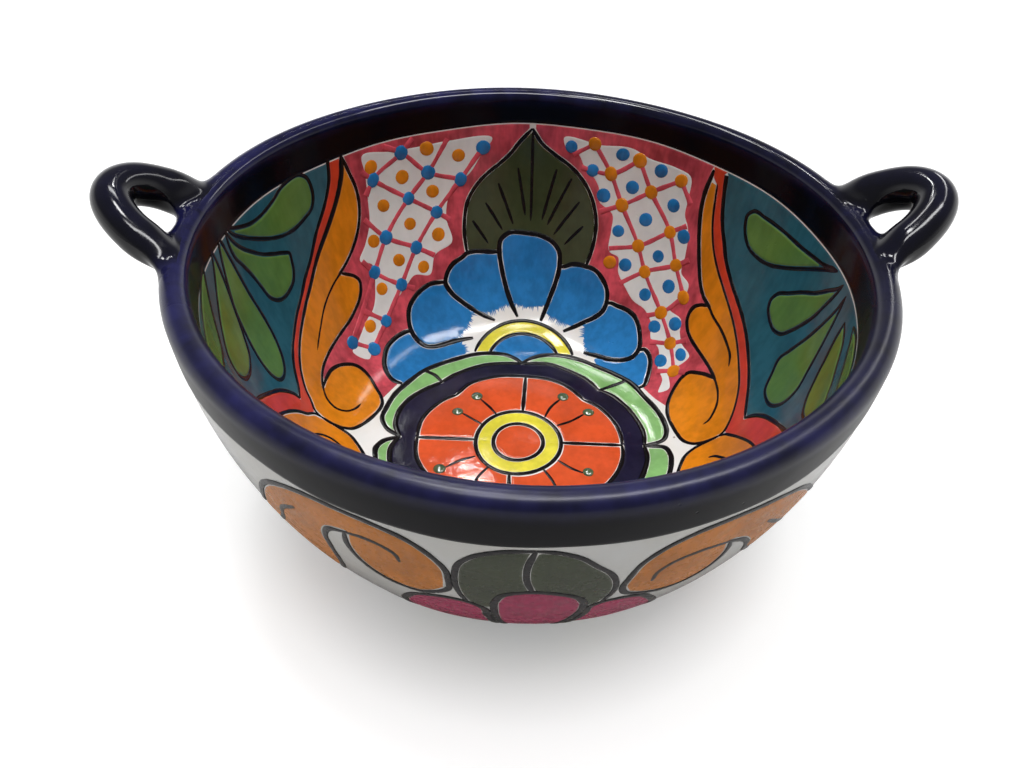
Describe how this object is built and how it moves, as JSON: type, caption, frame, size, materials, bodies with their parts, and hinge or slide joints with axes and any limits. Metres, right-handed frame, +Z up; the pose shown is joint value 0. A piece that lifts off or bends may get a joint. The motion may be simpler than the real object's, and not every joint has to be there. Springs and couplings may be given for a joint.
{
  "type": "two-handled bowl",
  "caption": "Deep round glazed earthenware serving bowl with a half-round lip, a low foot ring and upswept loop handles luted to the lip, for holding and carrying food.",
  "frame": {"origin": "on the table under the middle of the bowl", "axes": "+Z up along the bowl's axis, +X through the middle of the right handle, -Y towards the viewer"},
  "size_m": [0.3092, 0.26, 0.1526],
  "materials": {
    "white_glaze": "gloss white tin glaze, painted",
    "cobalt_glaze": "gloss cobalt-blue glaze"
  },
  "bodies": {
    "root": {"bowl": "white_glaze", "left_handle": "cobalt_glaze", "right_handle": "cobalt_glaze"}
  },
  "joints": []
}
